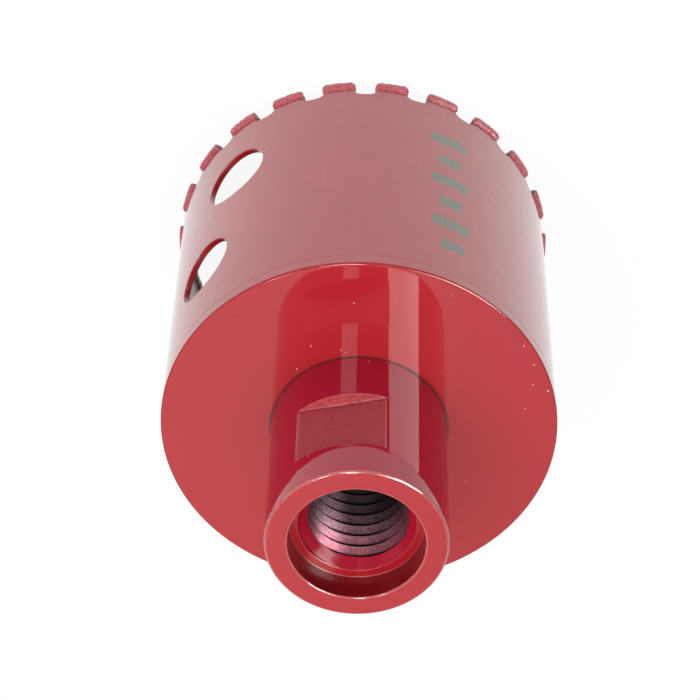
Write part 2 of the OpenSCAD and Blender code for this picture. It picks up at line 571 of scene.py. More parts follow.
@dataclass(frozen=True)
class BarePaint:
    """Dull rough paint on the milled flats and on their sandy ledges, with painted shade in the rounded corners at the
    foot of each flat and a painted highlight on the flats' worn upright edges.
    """

    name: str
    colour: Colour = (0.41, 0.04, 0.055)
    sandy: Colour = (0.55, 0.036, 0.045)
    rubbed: Colour = (0.44, 0.015, 0.025)
    deep: Colour = (0.33, 0.012, 0.025)
    # Pale colour of the flats' worn edges, which also paints a highlight there.
    pale: Colour = (0.58, 0.17, 0.17)

    def material(self) -> bpy.types.Material:
        """Builds the material of the flats."""
        s = Shading(self.name)
        grains = s.noise(0.16 * MM, 3.0, 0.7)
        strokes = s.noise(0.45 * MM, 3.0, 0.6, stretch=(1, 1, 0.5))
        colour = s.mix(s.both(s.step(strokes, 0.45, 0.65), 0.45), self.colour, self.deep)
        ledge = s.step(s.facing_up, 0.25, 0.7)
        crumbs = s.step(s.noise(0.8 * MM, 3.0, 0.5, turn=(4, 1, 3)), 0.35, 0.6)
        colour = s.mix(ledge, colour, s.mix(crumbs, self.rubbed, self.sandy))
        ragged = s.step(s.noise(0.5 * MM, 3.0, 0.6), 0.3, 0.6)
        upright = s.math("SUBTRACT", 1.0, ledge)
        # Pale ragged colour along the flats' upright edges: worn paint and a painted highlight.
        edge = s.both(s.step(s.mark("milled"), 0.16 * MM, 0.1 * MM), s.both(upright, s.blend(ragged, 0.4, 1.0)))
        colour = s.mix(s.both(edge, 0.6), colour, self.pale)
        # Painted shade in the rounded corner at the foot of each flat.
        colour = s.mix(s.both(s.mark("fillet"), 0.8), colour, self.deep)
        rough = s.blend(grains, 0.5, 0.8)
        pits = s.bump(s.math("ADD", grains, strokes), 0.025 * MM)
        lumps = s.bump(s.both(ledge, crumbs), 0.04 * MM, pits)
        return s.finish(colour, rough, lumps, coat=0.2, coat_roughness=0.3, specular=0.3)


@dataclass(frozen=True)
class BareSteel:
    """Grey drawn steel of the inside, with thin overspray near the rim."""

    name: str
    colour: Colour = (0.34, 0.32, 0.31)
    dark: Colour = (0.17, 0.15, 0.145)
    overspray: Colour = (0.33, 0.05, 0.05)
    overspray_top: float = 6.0 * MM

    def material(self) -> bpy.types.Material:
        """Builds the material of the inside."""
        s = Shading(self.name)
        lines = s.noise(0.5 * MM, 3.0, 0.6, stretch=(1, 1, 8))
        cloud = s.noise(6 * MM, 4.0, 0.6)
        colour = s.mix(s.step(cloud, 0.35, 0.7), self.colour, self.dark)
        colour = s.mix(s.both(lines, 0.25), colour, self.dark)
        mist = s.both(s.step(s.z, self.overspray_top, 0.0), s.step(s.noise(0.6 * MM, 3.0, 0.7), 0.4, 0.62))
        colour = s.mix(mist, colour, self.overspray)
        rough = s.math("ADD", 0.38, s.both(cloud, 0.25))
        metal = s.math("SUBTRACT", 1.0, mist)
        return s.finish(colour, rough, s.bump(lines, 0.004 * MM), metallic=metal)


@dataclass(frozen=True)
class ThreadSteel:
    """Cut steel of the thread under thin overspray, with black oil and painted shade in its grooves, painted shade
    deeper in the bore, a lighter side as painted light, and paint down to its first turn.
    """

    name: str
    crest_r: float
    root_r: float
    paint_low_z: float
    shaded_z: float
    colour: Colour = (0.20, 0.098, 0.117)
    dull: Colour = (0.035, 0.012, 0.013)
    # Lighter colour of the side that faces the lamp: painted light.
    rubbed: Colour = (0.13, 0.093, 0.115)
    lit_side: float = math.radians(-24.0)
    overspray: Colour = (0.18, 0.032, 0.045)
    # Near black, for the oil and for the painted shade.
    oil: Colour = (0.008, 0.006, 0.006)
    paint: Colour = (0.45, 0.008, 0.030)

    def material(self) -> bpy.types.Material:
        """Builds the material of the thread."""
        s = Shading(self.name)
        cut = self.root_r - self.crest_r
        # Black in the grooves and on the flanks that face away from the mouth: oil and painted shade.
        groove_oil_and_shade = s.either(s.step(s.radius, self.crest_r + 0.58 * cut, self.crest_r + 0.7 * cut), s.mark("oily"))
        # Painted shade: darker and darker deeper in the bore.
        deep = s.step(s.z, self.paint_low_z - 2 * MM, self.shaded_z)
        # Painted light: the side that faces the lamp is lighter and less shaded.
        towards = s.math("ADD", s.both(s.x, math.cos(self.lit_side)), s.both(s.y, math.sin(self.lit_side)))
        rubbed = s.step(towards, 3.0 * MM, 6.0 * MM)
        deep = s.both(deep, s.blend(rubbed, 1.0, 0.45))
        grains = s.noise(0.3 * MM, 4.0, 0.65)
        cuts = s.noise(0.32 * MM, 4.0, 0.7, stretch=(1, 1, 3))
        colour = s.mix(s.step(cuts, 0.4, 0.7), s.mix(s.both(rubbed, 0.6), self.colour, self.rubbed), self.dull)
        mist = s.both(s.step(s.z, self.paint_low_z - 7 * MM, self.paint_low_z), s.step(grains, 0.3, 0.6))
        colour = s.mix(s.both(mist, 0.8), colour, self.overspray)
        colour = s.mix(s.both(deep, 0.92), colour, self.oil)
        colour = s.mix(groove_oil_and_shade, colour, self.oil)
        edge = s.math("ADD", s.z, s.both(s.math("SUBTRACT", s.noise(1.2 * MM, 3.0), 0.5), 0.1 * MM))
        painted = s.step(edge, self.paint_low_z, self.paint_low_z + 0.1 * MM)
        colour = s.mix(painted, colour, self.paint)
        rough = s.blend(painted, s.blend(groove_oil_and_shade, s.math("ADD", 0.24, s.both(grains, 0.2)), 0.75), 0.1)
        metal = s.both(s.math("SUBTRACT", 1.0, painted), 0.5)
        return s.finish(colour, rough, s.bump(cuts, 0.02 * MM), metallic=metal, specular=0.1)


@dataclass(frozen=True)
class BrazedGrit:
    """Grey-brown braze full of grains, with thin red paint on its outside."""

    name: str
    braze: Colour = (0.32, 0.12, 0.10)
    grain: Colour = (0.42, 0.24, 0.20)
    paint: Colour = (0.60, 0.085, 0.105)
    deep: Colour = (0.30, 0.01, 0.02)
    coat: float = 0.5

    def material(self) -> bpy.types.Material:
        """Builds the material of the grit."""
        s = Shading(self.name)
        speckle = s.noise(0.22 * MM, 3.0, 0.7)
        colour = s.mix(s.step(speckle, 0.4, 0.65), self.braze, self.grain)
        patches = s.noise(0.7 * MM, 3.0, 0.6, turn=(5, 2, 1))
        blotches = s.step(s.noise(0.36 * MM, 2.0, 0.6, turn=(1, 4, 2)), 0.5, 0.62)
        paint = s.mix(s.both(blotches, 0.8), self.paint, self.deep)
        cover = s.math("ADD", s.mark("painted"), s.both(s.math("SUBTRACT", patches, 0.5), 1.4))
        painted = s.step(cover, 0.35, 0.6)
        colour = s.mix(painted, colour, paint)
        feather = s.mark("feather")
        colour = s.mix(feather, colour, (0.49, 0.006, 0.030))
        rough = s.blend(feather, s.blend(painted, 0.7, 0.38), 0.3)
        bumps = s.bump(s.both(speckle, s.math("SUBTRACT", 1.0, feather)), 0.03 * MM)
        return s.finish(colour, rough, bumps, coat=self.coat, coat_roughness=0.1)


@dataclass
class Line:
    """A closed or open edge of the barrel's sheet, laid out flat.

    The points lie on the finished edge, and the insets point from them into the sheet.
    """

    along: np.ndarray
    heights: np.ndarray
    insets: np.ndarray
    closed: bool

    def moved(self, distance: float) -> np.ndarray:
        """Gives the line moved into the sheet by a distance, as rows of two coordinates."""
        return np.stack([self.along, self.heights], axis=1) + self.insets * distance


@dataclass
class Barrel:
    """Rolled tube with a slotted rim and two pairs of side holes, its cut edges rounded."""

    sizes: Sizes
    edge_r: float = 0.12 * MM
    hole_r: float = 4.7 * MM
    hole_turns: tuple[float, float] = (math.radians(-6.0), math.radians(5.3))
    low_hole_z: float = 12.7 * MM
    high_hole_drop: float = 13.7 * MM
    columns: int = 308
    row_h: float = 1.3 * MM
    hole_points: int = 80
    first_slot: int = 5
    edge_steps: int = 3

    def slot_side(self) -> tuple[np.ndarray, np.ndarray, np.ndarray]:
        """Lays out the right half of a slot, from its middle to the tip of the next tooth.

        Returns:
            Offsets from the slot's middle, heights, and directions into the steel.
        """
        half, top, corner = self.sizes.steel_slot_w / 2, self.sizes.slot_h, self.sizes.slot_corner_r
        offsets, heights, insets = [0.0, 0.5 * (half - corner)], [top, top], [(0.0, 1.0), (0.0, 1.0)]
        for angle in np.radians(np.linspace(90, 0, 10)):
            offsets.append(half - corner + corner * math.cos(angle))
            heights.append(top - corner + corner * math.sin(angle))
            insets.append((math.cos(angle), math.sin(angle)))
        tip = self.sizes.steel_tip_z
        for share in (0.5, 0.2):
            offsets.append(half)
            heights.append(tip + share * (top - corner - tip))
            insets.append((1.0, 0.0))
        offsets.append(half)
        heights.append(tip)
        insets.append((1.0, 1.0))
        return np.array(offsets), np.array(heights), np.array(insets)

    def rim(self, radius: float) -> Line:
        """Lays out the whole rim, from the middle of the first slot round to it again.

        Args:
            radius: Radius of the sheet.

        Returns:
            The line, with its last point above the first one's full turn.
        """
        s = self.sizes
        offsets, heights, insets = self.slot_side()
        angles = np.arcsin(offsets / radius)
        along, up, into = [], [], []
        for number in range(self.first_slot, self.first_slot + s.teeth):
            middle, following = s.slot_angle(number), s.slot_angle(number + 1)
            along.append(middle + angles)
            up.append(heights)
            into.append(insets)
            tips = np.linspace(middle + angles[-1], following - angles[-1], 9)[1:-1]
            along.append(tips)
            up.append(np.full(len(tips), s.steel_tip_z))
            into.append(np.tile((0.0, 1.0), (len(tips), 1)))
            last = number == self.first_slot + s.teeth - 1
            stop = 0 if last else 1
            back = slice(None, None, -1) if stop == 0 else slice(None, 0, -1)
            along.append((following - angles)[back])
            up.append(heights[back])
            into.append((insets * (-1.0, 1.0))[back])
        return Line(np.concatenate(along) * radius, np.concatenate(up), np.concatenate(into), False)

    def top(self, radius: float) -> Line:
        """Lays out the end of the tube under the base plate, from the cut round to it again."""
        start = self.sizes.slot_angle(self.first_slot)
        along = np.linspace(start, start + math.tau, self.columns + 1) * radius
        return Line(along, np.full(len(along), self.sizes.seam_z), np.tile((0.0, -1.0), (len(along), 1)), False)

    def holes(self, radius: float) -> list[Line]:
        """Lays out the four side holes, which are drilled along two diameters."""
        around = np.linspace(0.0, math.tau, self.hole_points, endpoint=False)
        lines = []
        start = self.sizes.slot_angle(self.first_slot)
        for turn, height in zip(self.hole_turns, (self.low_hole_z, self.sizes.plate_z - self.high_hole_drop)):
            for middle in (-math.pi / 2 + turn, math.pi / 2 + turn):
                middle = start + (middle - start) % math.tau
                along = (middle + np.arcsin(self.hole_r * np.cos(around) / radius)) * radius
                lines.append(Line(along, height + self.hole_r * np.sin(around), np.stack([np.cos(around), np.sin(around)], axis=1), True))
        return lines

    def sheet(self, skin: Skin, radius: float, outwards: float, finish: int) -> list[np.ndarray]:
        """Builds the outer or the inner sheet with the roundings of its edges.

        Args:
            skin: Mesh that is being built.
            radius: Radius of the sheet.
            outwards: 1 for the outer sheet and -1 for the inner one.
            finish: Finish number of the sheet.

        Returns:
            Point numbers of the last line of each rounding: the rim, the top and the holes.
        """
        lines = [self.rim(radius), self.top(radius), *self.holes(radius)]
        inner = [line.moved(self.edge_r) for line in lines]
        start = self.sizes.slot_angle(self.first_slot) * radius
        end = start + math.tau * radius
        low, high = inner[0][0, 1], inner[1][0, 1]
        heights = np.linspace(low, high, int((high - low) / self.row_h) + 1)[1:-1]
        left = np.stack([np.full(len(heights), start), heights], axis=1)
        right = left + (end - start, 0.0)
        along = np.linspace(start, end, self.columns + 1)[1:-1]
        grid = np.stack(np.meshgrid(along, np.concatenate([[1.3 * MM], heights])), axis=-1).reshape(-1, 2)
        edges = np.concatenate(inner)
        space = np.array([np.min(np.hypot(*(edges - point).T)) for point in grid])
        beyond = np.array([self.in_steel(point, radius) for point in grid])
        grid = grid[(space > 0.3 * MM) & beyond]
        blocks = [*inner, left, right, grid]
        firsts = np.cumsum([0] + [len(block) for block in blocks])
        flat = np.concatenate(blocks)
        rim, top = np.arange(firsts[0], firsts[1]), np.arange(firsts[1], firsts[2])
        left_numbers = np.arange(firsts[-4], firsts[-3])
        right_numbers = np.arange(firsts[-3], firsts[-2])
        outline = np.concatenate([rim, right_numbers, top[::-1], left_numbers[::-1]])
        rings = [np.arange(firsts[2 + k], firsts[3 + k]) for k in range(4)]
        found = delaunay_2d_cdt([Vector(p / MM) for p in flat], [], [outline.tolist(), *[r.tolist() for r in rings]], 1, 1e-7)
        names, corners, sources = found[3], found[2], found[5]
        same = np.arange(len(flat))
        same[rim[-1]], same[top[-1]] = rim[0], top[0]
        same[right_numbers] = left_numbers
        angles = flat[:, 0] / radius
        radial = np.stack([np.cos(angles), np.sin(angles), np.zeros(len(flat))], axis=1)
        points = radial * radius + np.stack([np.zeros(len(flat)), np.zeros(len(flat)), flat[:, 1]], axis=1)
        numbers = skin.place(points, radial * outwards, cut_edge=0.0)
        faces = []
        for face, source in zip(corners, sources):
            if list(source) != [0]:
                continue
            face = [int(same[names[corner][0]]) for corner in face]
            faces.append([int(numbers[n]) for n in (face if outwards > 0 else face[::-1])])
        skin.add_faces(faces, finish)
        last = []
        for line, base in zip(lines, (rim, top, *rings)):
            rows = [numbers[same[base]]]
            for angle in round_corner(self.edge_steps)[1:]:
                rows.append(self.rounding(skin, line, radius, outwards, angle))
            grid_numbers = np.array(rows)
            if not line.closed:
                grid_numbers[:, -1] = grid_numbers[:, 0]
            skin.span(grid_numbers if outwards > 0 else grid_numbers[::-1], line.closed, finish)
            last.append(grid_numbers[-1])
        return last

    def in_steel(self, point: np.ndarray, radius: float) -> bool:
        """Tells whether a flat point lies in the sheet's steel and not in a slot or below the tips."""
        s = self.sizes
        angle = (point[0] / radius - s.slot_angle(0) + s.pitch / 2) % s.pitch - s.pitch / 2
        in_slot = abs(angle) * radius < s.steel_slot_w / 2 + self.edge_r and point[1] < s.slot_h + self.edge_r
        return point[1] > s.steel_tip_z + self.edge_r and not in_slot

    def rounding(self, skin: Skin, line: Line, radius: float, outwards: float, angle: float) -> np.ndarray:
        """Adds one row of the rounding along an edge.

        Args:
            skin: Mesh that is being built.
            line: Edge that is rounded.
            radius: Radius of the sheet.
            outwards: 1 for the outer sheet and -1 for the inner one.
            angle: Angle round the edge, from 0 on the sheet to 90 degrees on the wall.

        Returns:
            Point numbers of the row.
        """
        flat = line.moved(self.edge_r * (1 - math.sin(angle)))
        depth = radius - outwards * self.edge_r * (1 - math.cos(angle))
        turns = flat[:, 0] / radius
        radial = np.stack([np.cos(turns), np.sin(turns), np.zeros(len(turns))], axis=1)
        tangent = np.stack([-np.sin(turns), np.cos(turns), np.zeros(len(turns))], axis=1)
        upward = np.array([0.0, 0.0, 1.0])
        out_of_steel = -(tangent * line.insets[:, :1] + upward * line.insets[:, 1:])
        out_of_steel /= np.linalg.norm(out_of_steel, axis=1, keepdims=True)
        points = radial * depth + upward * flat[:, 1:]
        normals = radial * outwards * math.cos(angle) + out_of_steel * math.sin(angle)
        return skin.place(points, normals, cut_edge=math.sin(angle))

    def build(self, paint: bpy.types.Material, steel: bpy.types.Material) -> bpy.types.Object:
        """Builds the barrel.

        Args:
            paint: Finish of the outside and of the cut edges.
            steel: Finish of the inside.

        Returns:
            The barrel.
        """
        skin = Skin()
        outer = self.sheet(skin, self.sizes.tube_r, 1.0, 0)
        inner = self.sheet(skin, self.sizes.bore_r, -1.0, 1)
        closed = [False, False, True, True, True, True]
        for outside, inside, loop in zip(outer, inner, closed):
            skin.span(np.array([outside, inside]), loop, 0)
        return skin.build("core_bit_barrel", [paint, steel])


@dataclass
class BasePlate:
    """Turned disc that closes the tube, with a rounded edge and a spigot inside the tube."""

    sizes: Sizes
    edge_r: float = 0.24 * MM
    seam_r: float = 0.04 * MM
    spigot_edge: float = 0.6 * MM
    hub_gap: float = 0.01 * MM
    columns: int = 360

    def section(self) -> np.ndarray:
        """Lays out the half section as rows of radius and height, once round."""
        s = self.sizes
        hole = s.spigot_r + self.hub_gap
        rows = [(hole, s.plate_low_z), (hole + 4 * MM, s.plate_low_z), (s.bore_r - 4 * MM, s.plate_low_z)]
        rows += [(s.bore_r - self.spigot_edge - 0.05 * MM, s.plate_low_z), (s.bore_r - self.spigot_edge, s.plate_low_z + 0.01 * MM)]
        rows += [(s.bore_r - self.hub_gap, s.plate_low_z + self.spigot_edge), (s.bore_r - self.hub_gap, s.seam_z)]
        rows += [(s.tube_r - 1.2 * self.seam_r, s.seam_z)]
        for angle in round_corner(3):
            rows.append((s.tube_r - self.seam_r * (1 - math.sin(angle)), s.seam_z + self.seam_r * (1 - math.cos(angle))))
        rows.append((s.tube_r, s.seam_z + 0.7 * MM))
        rows.append((s.tube_r, s.plate_z - self.edge_r - 0.1 * MM))
        for angle in round_corner(6):
            rows.append((s.tube_r - self.edge_r * (1 - math.cos(angle)), s.plate_z - self.edge_r * (1 - math.sin(angle))))
        for radius in (24.2, 22, 19, 16, 13.5, 12, 11.4, 11.05, 10.2):
            rows.append((radius * MM, s.plate_z))
        rows.append((hole, s.plate_z))
        return np.array(rows)

    def build(self, paint: bpy.types.Material, steel: bpy.types.Material, wall: bpy.types.Material,
              edge: bpy.types.Material) -> bpy.types.Object:
        """Builds the base plate.

        Args:
            paint: Finish of the outside.
            steel: Finish of the inside.
            wall: Finish of the wall.
            edge: Finish of the rounded edge.

        Returns:
            The base plate.
        """
        angles = np.linspace(0.0, math.tau, self.columns, endpoint=False)
        rows = self.section()
        skin = Skin()
        grid = skin.place(turned(rows[:, 0], rows[:, 1], angles))
        grid = np.concatenate([grid, grid[:1]])
        number = np.arange(len(grid) - 1)
        finishes = np.select([number < 7, (number >= 10) & (number < 13), (number >= 13) & (number < 18)], [1, 2, 3], 0)
        skin.span(grid, True, finishes[:, None])
        return skin.build("core_bit_base_plate", [paint, steel, wall, edge])


@dataclass
class Hub:
    """Turned hub with two spanner flats, a counterbore and a cut thread."""

    sizes: Sizes
    counterbore_r: float = 8.2 * MM
    counterbore_h: float = 3.8 * MM
    countersink_r: float = 7.1 * MM
    thread_r: float = 7.0 * MM
    crest_share: float = 1.0825
    pitch: float = 2.0 * MM
    exit_h: float = 1.2 * MM
    mouth_edge_r: float = 0.45 * MM
    lip_r: float = 0.25 * MM
    foot_r: float = 0.1 * MM
    ledge_r: float = 0.12 * MM
    flat_depth: float = 1.5 * MM
    flat_low: float = 7.5 * MM
    flat_h: float = 9.9 * MM
    flat_turn: float = math.radians(53.3)
    flat_edge: float = 0.09 * MM
    flat_bevel: float = 0.1 * MM
    flat_fillet: float = 0.22 * MM
    start: float = 0.17
    worn_from: float = 0.46
    flank_tilt: float = 49.0
    rows_per_turn: int = 24
    columns: int = 120

    @property
    def crest_r(self) -> float:
        """Radius of the thread's crests."""
        return self.thread_r - self.crest_share * self.pitch / 2

    @property
    def ledge_z(self) -> float:
        """Height of the bottom of the counterbore."""
        return self.sizes.mouth_z - self.counterbore_h

    def angles(self) -> np.ndarray:
        """Gives the angles of the columns, closer together at the edges of the flats."""
        half = math.degrees(math.acos(1 - self.flat_depth / self.sizes.hub_r))
        edges = [math.degrees(self.flat_turn) + side + turn for side in (0, 180) for turn in (-half, half)]
        fine = [(edge + step) % 360 for edge in edges for step in (-2.4, -1.5, -0.9, -0.5, -0.2, 0.2, 0.5, 0.9, 1.5, 2.4)]
        coarse = [a for a in np.arange(0, 360, 360 / self.columns) if min(abs((a - f + 180) % 360 - 180) for f in fine) > 0.9]
        return np.radians(np.array(sorted(fine + coarse)))

    def flat_inset(self, angles: np.ndarray) -> np.ndarray:
        """Gives how deep the flats lie under the round skin, with their upright edges rounded.

        Args:
            angles: Angles of the columns, in radians.

        Returns:
            The depth at each angle.
        """
        inset = np.zeros(len(angles))
        radius, soft = self.sizes.hub_r, self.flat_edge
        for side in (0.0, math.pi):
            turn = (angles - self.flat_turn - side + math.pi) % math.tau - math.pi
            chord = np.where(np.abs(turn) < 1.2, (radius - self.flat_depth) / np.cos(np.minimum(np.abs(turn), 1.2)), 2 * radius)
            share = np.clip(0.5 + 0.5 * (chord - radius) / soft, 0, 1)
            smooth = chord * (1 - share) + radius * share - soft * share * (1 - share)
            inset = np.maximum(inset, radius - smooth)
        return inset

    def skin_rows(self, angles: np.ndarray) -> tuple[np.ndarray, np.ndarray, np.ndarray]:
        """Lays out the outside of the hub, from its foot on the plate to the mouth's edge.

        Args:
            angles: Angles of the columns.

        Returns:
            Grids of radii and heights, and for each row whether it is part of a flat.
        """
        s = self.sizes
        depth = self.flat_inset(angles)
        low, high = s.plate_z + self.flat_low, s.plate_z + self.flat_low + self.flat_h
        big = s.hub_r
        rows: list[tuple[float, float, float, float, bool]] = []
        for angle in round_corner(3):
            rows.append((s.plate_z + self.foot_r * (1 - math.cos(angle)), self.foot_r * (1 - math.sin(angle)), 0.0, big, False))
        for height in (0.5 * MM, 2.5 * MM, 5.0 * MM, 7.0 * MM):
            rows.append((s.plate_z + height, 0.0, 0.0, big, False))
        ledge: list[tuple[float, float, float, float, bool]] = []
        for angle in round_corner(3):
            ledge.append((-self.flat_bevel * (1 - math.sin(angle)), 0.0, self.flat_bevel * (1 - math.cos(angle)), 0.0, True))
        for angle in round_corner(4):
            ledge.append((self.flat_fillet * (1 - math.cos(angle)), 0.0, big, self.flat_fillet * (1 - math.sin(angle)), True))
        rows += [(low + z, taper, most, less, flat) for z, taper, most, less, flat in ledge]
        for share in np.linspace(0.06, 0.94, 9):
            rows.append((low + share * (high - low), 0.0, big, 0.0, True))
        rows += [(high - z, taper, most, less, flat) for z, taper, most, less, flat in reversed(ledge)]
        for height in (0.4 * MM, 2.0 * MM, 3.6 * MM):
            rows.append((high + height, 0.0, 0.0, big, False))
        for angle in round_corner(7):
            edge = self.mouth_edge_r
            rows.append((s.mouth_z - edge * (1 - math.sin(angle)), edge * (1 - math.cos(angle)), 0.0, big, False))
        radii = []
        for _, taper, most, less, _ in rows:
            radii.append(s.hub_r - taper - np.minimum(np.maximum(depth - less, 0.0), most))
        heights = np.array([row[0] for row in rows])
        return np.array(radii), np.repeat(heights[:, None], len(angles), axis=1), np.array([row[4] for row in rows])

    def mouth_rows(self) -> np.ndarray:
        """Lays out the mouth, the counterbore and its ledge as rows of radius and height."""
        s = self.sizes
        rows = [(radius * MM, s.mouth_z) for radius in (10.3, 9.9, 9.2, 8.7)]
        for angle in round_corner(4):
            rows.append((self.counterbore_r + self.lip_r * (1 - math.sin(angle)), s.mouth_z - self.lip_r * (1 - math.cos(angle))))
        for depth in (0.5, 1.5, 2.5, 3.3):
            rows.append((self.counterbore_r, s.mouth_z - depth * MM))
        for angle in round_corner(3):
            rows.append((self.counterbore_r - self.ledge_r * (1 - math.cos(angle)), self.ledge_z + self.ledge_r * (1 - math.sin(angle))))
        rows += [(7.6 * MM, self.ledge_z), (7.2 * MM, self.ledge_z)]
        return np.array(rows)

    def bore_radius(self, angles: np.ndarray, heights: np.ndarray) -> np.ndarray:
        """Gives the radius of the threaded bore with the countersinks at its two ends.

        Args:
            angles: Grid of angles.
            heights: Grid of heights.

        Returns:
            Grid of radii.
        """
        low = self.sizes.plate_low_z
        away = np.abs(self.phase(angles, heights) - 0.5)
        cut = np.clip((away - 0.125) / 0.3125, 0.0, 1.0)
        thread = self.crest_r + cut * (self.thread_r - self.crest_r)
        top = self.countersink_r - (self.ledge_z - heights)
        bottom = self.crest_r + self.exit_h - (heights - low)
        return np.maximum(thread, np.maximum(top, bottom))

    def phase(self, angles: np.ndarray, heights: np.ndarray) -> np.ndarray:
        """Gives the place in the thread's turn, from one root over the crest at 0.5 to the next root."""
        return ((heights - self.sizes.plate_low_z) / self.pitch - angles / math.tau + self.start) % 1.0

    def thread_normals(self, angles: np.ndarray, heights: np.ndarray, radii: np.ndarray) -> np.ndarray:
        """Gives the normals of the threaded bore: clean flanks, with the crest's upper edge worn round into its flank.

        Args:
            angles: Grid of angles.
            heights: Grid of heights.
            radii: Grid of radii.

        Returns:
            Grid of normals.
        """
        phase = self.phase(angles, heights)
        tilt = np.where(phase > self.worn_from, self.flank_tilt, np.where(phase > 0.375, 0.0, -60.0))
        coned = radii > self.crest_r + np.clip((np.abs(phase - 0.5) - 0.125) / 0.3125, 0, 1) * (self.thread_r - self.crest_r) + 1e-7
        middle = (self.sizes.plate_low_z + self.ledge_z) / 2
        tilt = np.radians(np.where(coned, np.where(heights > middle, 45.0, -45.0), tilt))
        return np.stack([-np.cos(tilt) * np.cos(angles), -np.cos(tilt) * np.sin(angles), np.sin(tilt)], axis=-1)

    def thread_grid(self, skin: Skin, angles: np.ndarray) -> np.ndarray:
        """Places the points of the thread on a grid that climbs with it.

        Args:
            skin: Mesh that is being built.
            angles: Angles of the columns.

        Returns:
            Point numbers, with one column more than the angles, where the grid meets itself a turn higher.
        """
        low, high, turn = self.sizes.plate_low_z, self.ledge_z, self.rows_per_turn
        count = math.ceil(turn * ((high - low) / self.pitch + 2)) + 1
        climb = np.arange(count)[:, None] / turn - 1 + angles[None, :] / math.tau
        heights = np.clip(low + self.pitch * climb, low, high)
        grid_angles = np.repeat(angles[None, :], count, axis=0)
        radii = self.bore_radius(grid_angles, heights)
        phase = self.phase(grid_angles, heights)
        normals = self.thread_normals(grid_angles, heights, radii)
        # The flanks that face away from the mouth, and the crests' lower edges, are marked for oil and painted shade.
        numbers = skin.place(turned(radii, heights, angles), normals, oily=np.where((phase > 0.06) & (phase < self.worn_from), 1.0, 0.0),
                             milled=0.0, fillet=0.0)
        partner = numbers[np.minimum(np.arange(count) + turn, count - 1), 0]
        return np.concatenate([numbers, partner[:, None]], axis=1)

    def build(self, paint: bpy.types.Material, flats: bpy.types.Material, thread: bpy.types.Material,
              inner: bpy.types.Material) -> bpy.types.Object:
        """Builds the hub.

        Args:
            paint: Finish of the turned outside.
            flats: Finish of the spanner flats.
            thread: Finish of the thread.
            inner: Finish of the counterbore, darker paint as painted shade.

        Returns:
            The hub.
        """
        s = self.sizes
        skin = Skin()
        angles = self.angles()
        radii, heights, flat_rows = self.skin_rows(angles)
        depth = self.flat_inset(angles)
        above_ledge = heights - s.plate_z - self.flat_low
        # Rows of the rounded corner at the foot of each flat, which take painted shade.
        fillet = np.where((above_ledge > 0.1 * self.flat_fillet) & (above_ledge < 1.1 * self.flat_fillet), 1.0, 0.0)
        outside = skin.place(turned(radii, heights, angles), oily=0.0, milled=depth[None, :], fillet=fillet)
        milled = (depth > 0.03 * MM)[None, :] & (flat_rows[:-1] & flat_rows[1:])[:, None]
        skin.span(outside, True, np.where(milled, 1, 0))
        mouth = self.mouth_rows()
        inside = skin.place(turned(mouth[:, 0], mouth[:, 1], angles), oily=0.0, milled=0.0, fillet=0.0)
        skin.span(np.concatenate([outside[-1:], inside]), True, np.where(np.arange(len(inside)) > 7, 3, 0)[:, None])
        grid = self.thread_grid(skin, angles)
        skin.span(np.stack([inside[-1], grid[-1, :-1]]), True, 3)
        skin.span(grid[::-1], False, 2)
        spigot = np.array([(s.spigot_r - 0.2 * MM, s.plate_low_z), (s.spigot_r, s.plate_low_z + 0.2 * MM), (s.spigot_r, s.plate_z), (s.hub_r - self.foot_r, s.plate_z)])
        foot = skin.place(turned(spigot[:, 0], spigot[:, 1], angles), oily=0.0, milled=0.0, fillet=0.0)
        skin.span(np.concatenate([grid[:1, :-1], foot]), True, 2)
        return skin.build("core_bit_hub", [paint, flats, thread, inner])


